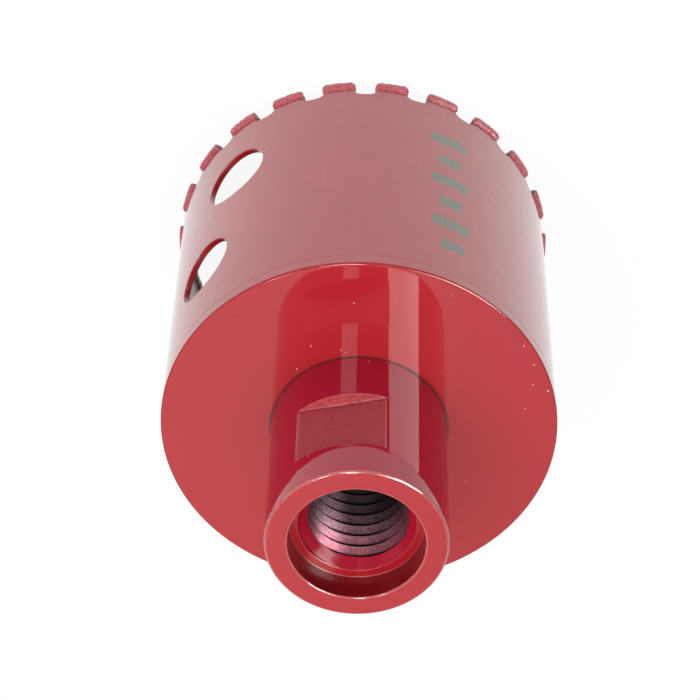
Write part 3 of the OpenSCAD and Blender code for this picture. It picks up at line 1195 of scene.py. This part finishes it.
@dataclass
class GrainLayer:
    """Geometry Nodes tree that sets rough grains into the skin of a diamond cap."""

    grain_size: float = 0.22 * MM
    spacing: float = 0.2 * MM
    mark: str = "gritty"
    tree: bpy.types.NodeTree = field(init=False)
    sockets: dict[str, str] = field(init=False, default_factory=dict)

    def __post_init__(self) -> None:
        """Builds the tree once."""
        tree = bpy.data.node_groups.new("grain_layer", "GeometryNodeTree")
        face = tree.interface
        face.new_socket("Geometry", in_out="INPUT", socket_type="NodeSocketGeometry")
        kinds = {"Grain size": "NodeSocketFloat", "Spacing": "NodeSocketFloat", "Seed": "NodeSocketInt", "Grain finish": "NodeSocketMaterial"}
        for label, kind in kinds.items():
            self.sockets[label] = face.new_socket(label, in_out="INPUT", socket_type=kind).identifier
        face.new_socket("Geometry", in_out="OUTPUT", socket_type="NodeSocketGeometry")
        nodes, links = tree.nodes, tree.links
        given, result = nodes.new("NodeGroupInput"), nodes.new("NodeGroupOutput")
        scatter = nodes.new("GeometryNodeDistributePointsOnFaces")
        scatter.distribute_method = "POISSON"
        gritty = nodes.new("GeometryNodeInputNamedAttribute")
        gritty.data_type = "FLOAT"
        gritty.inputs["Name"].default_value = self.mark
        grain = nodes.new("GeometryNodeMeshIcoSphere")
        grain.inputs["Subdivisions"].default_value = 1
        halved = nodes.new("ShaderNodeMath")
        halved.operation = "MULTIPLY"
        halved.inputs[1].default_value = 0.5
        tilt = nodes.new("FunctionNodeRandomValue")
        tilt.data_type = "FLOAT_VECTOR"
        tilt.inputs["Max"].default_value = (math.tau,) * 3
        swell = nodes.new("FunctionNodeRandomValue")
        swell.data_type = "FLOAT_VECTOR"
        swell.inputs["Min"].default_value = (0.4, 0.4, 0.4)
        swell.inputs["Max"].default_value = (1.4, 1.4, 1.4)
        place = nodes.new("GeometryNodeInstanceOnPoints")
        real, dress, join = nodes.new("GeometryNodeRealizeInstances"), nodes.new("GeometryNodeSetMaterial"), nodes.new("GeometryNodeJoinGeometry")
        density = scatter.inputs["Density Max"]
        density.default_value = 3.0e7
        for start, end in (
            (given.outputs["Geometry"], scatter.inputs["Mesh"]),
            (given.outputs["Spacing"], scatter.inputs["Distance Min"]),
            (given.outputs["Seed"], scatter.inputs["Seed"]),
            (gritty.outputs["Attribute"], scatter.inputs["Density Factor"]),
            (given.outputs["Grain size"], halved.inputs[0]),
            (halved.outputs[0], grain.inputs["Radius"]),
            (given.outputs["Seed"], tilt.inputs["Seed"]),
            (given.outputs["Seed"], swell.inputs["Seed"]),
            (scatter.outputs["Points"], place.inputs["Points"]),
            (grain.outputs["Mesh"], place.inputs["Instance"]),
            (tilt.outputs[0], place.inputs["Rotation"]),
            (swell.outputs[0], place.inputs["Scale"]),
            (place.outputs["Instances"], real.inputs["Geometry"]),
            (real.outputs["Geometry"], dress.inputs["Geometry"]),
            (given.outputs["Grain finish"], dress.inputs["Material"]),
            (given.outputs["Geometry"], join.inputs["Geometry"]),
            (dress.outputs["Geometry"], join.inputs["Geometry"]),
            (join.outputs["Geometry"], result.inputs["Geometry"]),
        ):
            links.new(start, end)
        self.tree = tree

    def apply(self, piece: bpy.types.Object, seed: int, finish: bpy.types.Material) -> None:
        """Sets the grains into a piece and keeps the result as its plain mesh.

        Args:
            piece: Piece with the mark on its gritty points.
            seed: Seed of the scatter.
            finish: Material of the grains.
        """
        modifier = piece.modifiers.new("grains", "NODES")
        modifier.node_group = self.tree
        modifier[self.sockets["Grain size"]] = self.grain_size
        modifier[self.sockets["Spacing"]] = self.spacing
        modifier[self.sockets["Seed"]] = seed
        modifier[self.sockets["Grain finish"]] = finish
        graph = bpy.context.evaluated_depsgraph_get()
        mesh = bpy.data.meshes.new_from_object(piece.evaluated_get(graph), preserve_all_data_layers=True, depsgraph=graph)
        piece.modifiers.clear()
        piece.data = mesh


@dataclass
class DiamondCaps:
    """Brazed caps of grit, each wrapped over the end of one tooth."""

    sizes: Sizes
    grains: GrainLayer
    outside_h: float = 1.5 * MM
    inside_h: float = 1.9 * MM
    shoulder: float = 0.6 * MM
    tip_edge: float = 0.5 * MM
    corner: float = 0.42 * MM
    skin_gap: float = 0.01 * MM
    steel_gap: float = 0.004 * MM
    roughness: float = 0.06 * MM
    corner_points: int = 6
    side_points: int = 22
    end_points: int = 8

    def half_width(self, radius: np.ndarray, slot_w: float) -> np.ndarray:
        """Gives half the width of a tooth at a radius, beside slots of a width."""
        return radius * (self.sizes.pitch / 2 - np.arcsin(slot_w / 2 / radius))

    def plan(self, inner_r: float, outer_r: float, slot_w: float, corner: float) -> np.ndarray:
        """Lays out the plan of a tooth as a loop with rounded corners.

        Args:
            inner_r: Inner radius.
            outer_r: Outer radius.
            slot_w: Width of the slots beside it.
            corner: Radius of the corners.

        Returns:
            Rows of the distance along the rim and the radius, from the outside's left corner on.
        """
        middle = (inner_r + outer_r) / 2
        half_w = float(self.half_width(np.array(middle), slot_w))
        half_t = (outer_r - inner_r) / 2
        rows: list[tuple[float, float]] = []
        corners = ((half_w, half_t, 0), (-half_w, half_t, 90), (-half_w, -half_t, 180), (half_w, -half_t, 270))
        for number, (x, y, start) in enumerate(corners):
            centre = (x - math.copysign(corner, x), y - math.copysign(corner, y))
            for angle in np.radians(np.linspace(start, start + 90, self.corner_points)):
                rows.append((centre[0] + corner * math.cos(angle), centre[1] + corner * math.sin(angle)))
            following = corners[(number + 1) % 4]
            count = self.side_points if number % 2 == 0 else self.end_points
            begin = rows[-1]
            angle = math.radians(following[2])
            end = (following[0] - math.copysign(corner, following[0]) + corner * math.cos(angle),
                   following[1] - math.copysign(corner, following[1]) + corner * math.sin(angle))
            for share in np.linspace(0, 1, count + 1)[1:-1]:
                rows.append((begin[0] + share * (end[0] - begin[0]), begin[1] + share * (end[1] - begin[1])))
        loop = np.array(rows)
        radii = middle + loop[:, 1]
        loop[:, 0] *= self.half_width(radii, slot_w) / half_w
        loop[:, 1] = radii
        return loop

    def rough(self, points: np.ndarray, outward: np.ndarray, amount: np.ndarray) -> np.ndarray:
        """Roughens points along their outward directions with fixed noise.

        Args:
            points: Points, as rows and columns.
            outward: Outward directions.
            amount: Height of the roughness for each row.

        Returns:
            The moved points.
        """
        moved = points.copy()
        for row in range(points.shape[0]):
            for column in range(points.shape[1]):
                place = Vector(points[row, column] / MM)
                fine = noise.noise(place * 2.6)
                coarse = noise.noise(place * 0.9 + Vector((7.0, 3.0, 1.0)))
                moved[row, column] += outward[row, column] * float(amount[row]) * (fine + 0.6 * coarse)
        return moved

    def bend(self, flat: np.ndarray, heights: np.ndarray, angle: float) -> np.ndarray:
        """Bends a flat loop round the axis at a tooth's angle, at the heights given, wider beside a slot's round end."""
        s = self.sizes
        rise = np.clip(heights - (s.slot_h - s.slot_corner_r), 0, s.slot_corner_r)
        wider = s.slot_corner_r - np.sqrt(s.slot_corner_r**2 - rise**2)
        half = float(self.half_width(np.array(s.tube_r), s.slot_w))
        turns = angle + flat[:, 0] * (1 + wider / half) / flat[:, 1]
        return np.stack([flat[:, 1] * np.cos(turns), flat[:, 1] * np.sin(turns), heights], axis=1)

    def build_one(self, number: int, skin_finish: bpy.types.Material, grain_finish: bpy.types.Material) -> bpy.types.Object:
        """Builds the cap of one tooth.

        Args:
            number: Number of the tooth.
            skin_finish: Finish of the braze.
            grain_finish: Finish of the grains.

        Returns:
            The cap.
        """
        s = self.sizes
        angle = s.tooth_angle(number)
        gap = self.skin_gap
        steel = self.plan(s.bore_r - self.steel_gap, s.tube_r + self.steel_gap, s.steel_slot_w - 2 * self.steel_gap, 0.03 * MM)
        grit = self.plan(s.grit_inner_r + gap, s.grit_outer_r - gap, s.slot_w + 2 * gap, self.corner)
        outer_share = np.clip((steel[:, 1] - s.bore_r) / (s.tube_r - s.bore_r), 0, 1)
        open_z = self.inside_h + outer_share * (self.outside_h - self.inside_h) - 0.02 * MM
        edge_noise = np.array([noise.noise(Vector((x / MM * 1.3, r / MM * 2.0, number * 5.0))) for x, r in steel])
        open_z = open_z - 0.13 * MM + 0.13 * MM * edge_noise
        tip_z = s.tip_z + gap
        centre = np.array([0.0, (s.bore_r + s.tube_r) / 2])
        loops, rows, amounts = [], [], []
        for share in np.linspace(0, 1, 5):
            rise = float(share * share * (3 - 2 * share))
            loops.append(steel + (grit - steel) * rise)
            rows.append(open_z - self.shoulder * share)
            amounts.append(self.roughness * rise)
        half_w = float(np.abs(grit[:, 0]).max())
        to_flank = np.clip((half_w - np.abs(grit[:, 0])) / (0.6 * MM), 0, 1)
        edge = self.tip_edge * (1 - 0.75 * to_flank)
        straight_low = tip_z + edge
        for share in np.linspace(0, 1, 7)[1:]:
            loops.append(grit)
            rows.append((open_z - self.shoulder) * (1 - share) + straight_low * share)
            amounts.append(self.roughness)
        for turn in round_corner(4)[1:]:
            inset = self.tip_edge * (1 - math.cos(turn))
            loops.append(self.shrunk(grit, centre, inset))
            rows.append(straight_low - edge * math.sin(turn))
            amounts.append(self.roughness)
        last = loops[-1]
        for share in (0.8, 0.55, 0.3, 0.0):
            loops.append(centre + (last - centre) * share)
            rows.append(np.full(len(grit), tip_z))
            amounts.append(self.roughness if share else 0.0)
        points = np.array([self.bend(loop, heights, angle) for loop, heights in zip(loops, rows)])
        middle = self.bend(centre[None, :], np.array([self.outside_h * 0.55]), angle)[0]
        outward = points - middle
        outward /= np.maximum(np.linalg.norm(outward, axis=2, keepdims=True), 1e-9)
        points = self.rough(points, outward, np.array(amounts))
        inner_loops = [steel, steel, *[centre + (steel - centre) * share for share in (0.7, 0.0)]]
        inner_rows = [open_z + 0.0, *[np.full(len(steel), s.steel_tip_z - self.steel_gap)] * 3]
        inner = np.array([self.bend(loop, heights, angle) for loop, heights in zip(inner_loops, inner_rows)])
        inner[0] = points[0]
        skin = Skin()
        side = np.clip((grit[:, 1] - s.bore_r) / (s.tube_r - s.bore_r), 0, 1)
        painted = side * (0.6 + 0.3 * to_flank) * np.array([0.95 if row < 11 else 0.75 if row < 13 else 0.35 for row in range(len(loops))])[:, None]
        lip = points[1] - points[0]
        lip[:, 2] = 0.0
        normals = np.zeros(points.shape)
        normals[0] = lip / np.linalg.norm(lip, axis=1, keepdims=True)
        feather = np.clip(1.0 - np.arange(len(loops)) / 3.0, 0, 1)[:, None] * side
        gritty = np.where(np.arange(len(loops)) < 3, 0.0, 1.0)[:, None]
        outside = skin.place(self.kept_inside(points), normals, gritty=gritty, painted=painted, feather=feather)
        cavity = skin.place(inner, gritty=0.0, painted=0.0, feather=0.0)
        skin.span(outside[::-1], True, 0)
        skin.span(np.concatenate([outside[:1], cavity]), True, 0)
        piece = skin.build(f"diamond_cap_{number:02d}", [skin_finish, grain_finish])
        self.grains.apply(piece, number, grain_finish)
        self.trim(piece.data)
        return piece

    def shrunk(self, loop: np.ndarray, centre: np.ndarray, inset: float) -> np.ndarray:
        """Draws a loop in towards its centre by an inset."""
        away = loop - centre
        reach = np.abs(away).max(axis=0)
        return centre + away * (1 - inset * np.array([1.0, 0.35]) / reach)

    def kept_inside(self, points: np.ndarray) -> np.ndarray:
        """Keeps points inside the room of the CAD cap: above the tips' plane and between its two radii."""
        s = self.sizes
        radii = np.hypot(points[..., 0], points[..., 1])
        held = np.clip(radii, s.grit_inner_r, s.grit_outer_r - self.steel_gap) / radii
        kept = points.copy()
        kept[..., :2] *= held[..., None]
        kept[..., 2] = np.maximum(kept[..., 2], s.tip_z)
        return kept

    def trim(self, mesh: bpy.types.Mesh) -> None:
        """Keeps a finished mesh inside the room of the CAD cap."""
        points = np.empty(len(mesh.vertices) * 3, np.float32)
        mesh.vertices.foreach_get("co", points)
        kept = self.kept_inside(points.reshape(-1, 3).astype(float))
        mesh.vertices.foreach_set("co", kept.astype(np.float32).ravel())
        mesh.update()
        weigh_normals(mesh, flat_finish=1)

    def build(self, skin_finish: bpy.types.Material, grain_finish: bpy.types.Material) -> None:
        """Builds all caps and puts each in place of its CAD node."""
        for number in range(1, self.sizes.teeth + 1):
            piece = self.build_one(number, skin_finish, grain_finish)
            hand_over(piece, Slot.GRIT, f"cap_{number:02d}")


class PanelRole(Enum):
    """What a lamp panel does: lights the paint, shows in its gloss, or both."""

    BOTH = "both"
    FILL = "fill"
    CARD = "card"


@dataclass(frozen=True)
class Panel:
    """A soft lamp panel that faces the core bit, at a plain bearing from it."""

    name: str
    bearing: float
    height: float
    width: float
    tall: float
    radiance: float
    role: PanelRole = PanelRole.BOTH
    distance: float = 1.0
    soft: float = 0.0

    def build(self, target: Vector) -> None:
        """Places the lamp.

        Args:
            target: Point that it faces.
        """
        lamp = bpy.data.lights.new(self.name, "AREA")
        lamp.shape = "RECTANGLE"
        lamp.size, lamp.size_y = self.width, self.tall
        lamp.energy = self.radiance * self.width * self.tall * math.pi
        if self.soft:
            self.soften(lamp)
        holder = bpy.data.objects.new(self.name, lamp)
        bpy.context.scene.collection.objects.link(holder)
        around, up = math.radians(self.bearing), math.radians(self.height)
        away = Vector((math.cos(up) * math.cos(around), math.cos(up) * math.sin(around), math.sin(up)))
        holder.location = target + away * self.distance
        holder.rotation_euler = away.to_track_quat("Z", "Y").to_euler()
        holder.visible_glossy = self.role is not PanelRole.FILL
        holder.visible_diffuse = self.role is not PanelRole.CARD
        holder.visible_camera = False

    def soften(self, lamp: bpy.types.Light) -> None:
        """Fades the panel's light out towards its two sides."""
        lamp.use_nodes = True
        nodes, links = lamp.node_tree.nodes, lamp.node_tree.links
        across = nodes.new("ShaderNodeSeparateXYZ")
        links.new(nodes.new("ShaderNodeNewGeometry").outputs["Parametric"], across.inputs[0])
        away = nodes.new("ShaderNodeMath")
        away.operation = "PINGPONG"
        away.inputs[1].default_value = 0.5
        links.new(across.outputs["X"], away.inputs[0])
        fade = nodes.new("ShaderNodeMapRange")
        fade.interpolation_type = "SMOOTHSTEP"
        fade.inputs["From Max"].default_value = self.soft
        links.new(away.outputs[0], fade.inputs["Value"])
        links.new(fade.outputs[0], nodes["Emission"].inputs["Strength"])


@dataclass
class Studio:
    """Pale floor, even light and the camera."""

    camera_place: tuple[float, float, float] = (-0.1513507, -0.13114613, 0.30909218)
    camera_turn: tuple[float, float, float] = (-35.26890788, 0.84357046, 131.71426484)
    lens: float = 2662.15 / 700 * 36
    facing: float = -139.0909
    floor_size: float = 4.0
    panels: tuple[Panel, ...] = (
        Panel("panel_right", -139.09 - 61.0, 49.0, 0.47, 0.77, 24.0, PanelRole.CARD),
        Panel("panel_front", -139.09 + 14.5, 61.0, 0.21, 0.34, 10.5, PanelRole.CARD),
        Panel("panel_front_high", -139.09 + 14.5, 81.0, 0.12, 0.12, 51.0, PanelRole.CARD),
        Panel("panel_left_high", -139.09 + 70.0, 71.0, 0.2, 0.1, 34.0, PanelRole.CARD),
        Panel("panel_back", -139.09 + 129.0, 55.0, 1.2, 0.6, 0.25, PanelRole.CARD, 1.0, 0.12),
        Panel("panel_low", -139.09 + 68.0, 30.0, 0.6, 0.4, 1.0, PanelRole.CARD),
        Panel("panel_over", -139.09 + 180.0, 84.0, 1.1, 1.1, 1.05, PanelRole.FILL),
        Panel("panel_key", -139.09 + 45.0, 60.0, 0.2, 0.2, 2.9, PanelRole.FILL, 0.36),
    )

    def floor(self) -> bpy.types.Object:
        """Builds the floor, which shows near white and keeps the shadow."""
        half, level = self.floor_size / 2, -0.02 * MM
        mesh = bpy.data.meshes.new("floor")
        mesh.from_pydata([(-half, -half, level), (half, -half, level), (half, half, level), (-half, half, level)], [], [(0, 1, 2, 3)])
        floor = link_piece("floor", mesh)
        s = Shading("pale_floor")
        matt = s.node("ShaderNodeBsdfDiffuse", Color=(0.8, 0.8, 0.8, 1))
        shown = s.node("ShaderNodeAddShader")
        glow = s.node("ShaderNodeEmission", Color=(1, 1, 1, 1), Strength=0.93)
        veil = s.node("ShaderNodeBsdfDiffuse", Color=(0.08, 0.08, 0.08, 1))
        s.feed(shown.inputs[0], glow.outputs[0])
        s.feed(shown.inputs[1], veil.outputs[0])
        path = s.node("ShaderNodeLightPath")
        seen = s.either(path.outputs["Is Camera Ray"], s.either(path.outputs["Is Glossy Ray"], path.outputs["Is Transmission Ray"]))
        mixed = s.node("ShaderNodeMixShader", Fac=seen)
        s.feed(mixed.inputs[1], matt.outputs[0])
        s.feed(mixed.inputs[2], shown.outputs[0])
        s.feed(s.output.inputs["Surface"], mixed.outputs[0])
        mesh.materials.append(s.material)
        return floor

    def sky(self) -> None:
        """Sets the world: white to the camera and in gloss and glass, soft grey as light."""
        world = bpy.data.worlds.new("studio")
        bpy.context.scene.world = world
        world.use_nodes = True
        nodes, links = world.node_tree.nodes, world.node_tree.links
        nodes.clear()
        output, path = nodes.new("ShaderNodeOutputWorld"), nodes.new("ShaderNodeLightPath")
        below: Socket | None = None
        for strength, ray in ((0.55, ""), (1.0, "Is Transmission Ray"), (1.0, "Is Glossy Ray"), (1.0, "Is Camera Ray")):
            light = nodes.new("ShaderNodeBackground")
            light.inputs["Color"].default_value = (1, 1, 1, 1)
            light.inputs["Strength"].default_value = strength
            if below is None:
                below = light.outputs[0]
                continue
            mixed = nodes.new("ShaderNodeMixShader")
            links.new(path.outputs[ray], mixed.inputs[0])
            links.new(below, mixed.inputs[1])
            links.new(light.outputs[0], mixed.inputs[2])
            below = mixed.outputs[0]
        links.new(below, output.inputs[0])

    def camera(self) -> None:
        """Places the camera where the photograph was taken from."""
        data = bpy.data.cameras.new("camera")
        data.sensor_width, data.lens = 36.0, self.lens
        data.clip_start = 0.01
        holder = bpy.data.objects.new("camera", data)
        bpy.context.scene.collection.objects.link(holder)
        holder.location = self.camera_place
        holder.rotation_euler = Euler([math.radians(turn) for turn in self.camera_turn], "XYZ")
        bpy.context.scene.camera = holder

    def build(self, target: Vector) -> None:
        """Builds the whole studio round the core bit.

        Args:
            target: Point that the lamps face.
        """
        self.floor()
        self.sky()
        for panel in self.panels:
            panel.build(target)
        self.camera()
        bpy.context.scene.view_settings.view_transform = "Standard"


def plate_specks(sizes: Sizes) -> tuple[Speck, ...]:
    """Places the specks in the paint of the base plate where they are seen."""
    top, rim = sizes.plate_z, sizes.plate_z - 0.2 * MM
    seen = (
        (-23.06, 6.44, 0.13), (-21.83, 9.32, 0.14), (-22.73, 9.64, 0.12), (-19.56, 11.34, 0.13), (-20.15, 13.35, 0.16),
        (-16.24, 13.17, 0.12), (-1.78, -11.8, 0.13), (-5.54, -12.81, 0.14), (-7.56, -9.7, 0.12), (-13.83, -13.15, 0.13),
    )
    specks = [Speck((x * MM, y * MM, top if math.hypot(x, y) < 24.4 else rim), size * MM) for x, y, size in seen]
    specks.append(Speck((-2.52 * MM, -22.75 * MM, top), 0.16 * MM, dark=True))
    return tuple(specks)


def barrel_paint(sizes: Sizes) -> bpy.types.Material:
    """Builds the paint of the barrel with its printed scale.

    Args:
        sizes: Sizes of the core bit.

    Returns:
        The material.
    """
    finish = GlossPaint(
        "barrel_paint",
        colour=(0.43, 0.007, 0.012),
        deep=(0.38, 0.006, 0.010),
        specular=0.35,
    )
    s, colour, rough, normal = finish.shading()
    scale = PrintedScale()
    printed = scale.mask(s, sizes.tube_r)
    streaks = s.step(s.noise(0.5 * MM, 2.0, stretch=(1, 1, 0.03)), 0.62, 0.72)
    colour = s.mix(s.both(streaks, 0.03), colour, finish.worn)
    edge = s.both(s.mark("cut_edge"), s.step(s.z, sizes.slot_h + 1 * MM, sizes.slot_h + 0.5 * MM))
    colour = s.mix(s.both(s.both(edge, s.math("SUBTRACT", 1.3, edge)), 1.6), colour, (0.24, 0.13, 0.13))
    thin = s.step(s.noise(0.8 * MM, 3.0, 0.6, turn=(2, 5, 1)), 0.3, 0.75)
    ink = s.mix(thin, scale.colour, scale.thin)
    colour = s.mix(s.both(printed, 0.94), colour, ink)
    return s.finish(colour, s.blend(printed, rough, 0.5), normal, coat=1.0, coat_roughness=finish.coat_roughness, specular=finish.specular)


def main() -> None:
    """Builds the core bit and its studio, and reports each piece."""
    logging.basicConfig(level=logging.INFO, format="%(name)s: %(message)s")
    sizes = Sizes.from_frame()
    middle = Vector((0.0, 0.0, sizes.plate_z * 0.7))
    Studio().build(middle)

    hub = Hub(sizes)
    steel = BareSteel("bare_steel").material()
    plate_paint = GlossPaint(
        "base_plate_paint",
        # The plate's top face: a painted sheen.
        painted_top_sheen=(0.48, 0.019, 0.026),
        coat_ior=1.5,
        # A darker ring round the foot of the hub.
        dark_rings=(
            (sizes.hub_r + 0.05 * MM, sizes.plate_z, 0.32 * MM),
        ),
        specks=plate_specks(sizes),
    ).material()
    wall_paint = GlossPaint("base_plate_wall", colour=(0.43, 0.012, 0.016), deep=(0.38, 0.012, 0.014), specular=0.35).material()
    edge_paint = GlossPaint("base_plate_edge", colour=(0.43, 0.012, 0.016), deep=(0.38, 0.012, 0.014), coat=0.4, roughness=0.6).material()
    # Darker paint inside the counterbore: painted shade.
    counterbore_shaded_paint = GlossPaint("hub_counterbore_shaded_paint", colour=(0.28, 0.007, 0.012), deep=(0.2, 0.007, 0.01), coat_roughness=0.22, coat_ior=1.5).material()
    hub_paint = GlossPaint(
        "hub_paint",
        coat_ior=1.6,
        # Pale rings on the mouth's outer edge and the counterbore's lip: worn paint and a painted highlight.
        worn_highlight_rings=(
            (sizes.hub_r - 0.12 * MM, sizes.mouth_z - 0.12 * MM, 0.3 * MM),
            (hub.counterbore_r + 0.1 * MM, sizes.mouth_z - 0.08 * MM, 0.2 * MM),
        ),
        # A darker ring round the foot of the hub.
        dark_rings=((sizes.hub_r, sizes.plate_z, 0.14 * MM),),
    ).material()

    barrel = Barrel(sizes).build(barrel_paint(sizes), steel)
    hand_over(barrel, Slot.BARREL, "barrel")
    plate = BasePlate(sizes).build(plate_paint, steel, wall_paint, edge_paint)
    hand_over(plate, Slot.BASE_PLATE, "base_plate")
    # The painted shade in the thread is full from 8 mm above the plate down.
    thread = ThreadSteel("thread_steel", hub.crest_r, hub.thread_r, hub.ledge_z - 1.25 * MM, sizes.plate_z + 8 * MM).material()
    hand_over(hub.build(hub_paint, BarePaint("flat_paint").material(), thread, counterbore_shaded_paint), Slot.HUB, "hub")
    skin_finish = BrazedGrit("brazed_grit").material()
    grain_finish = BrazedGrit("diamond_grains", grain=(0.46, 0.27, 0.21), paint=(0.62, 0.12, 0.13), coat=0.0).material()
    DiamondCaps(sizes, GrainLayer()).build(skin_finish, grain_finish)


if __name__ == "__main__":
    main()
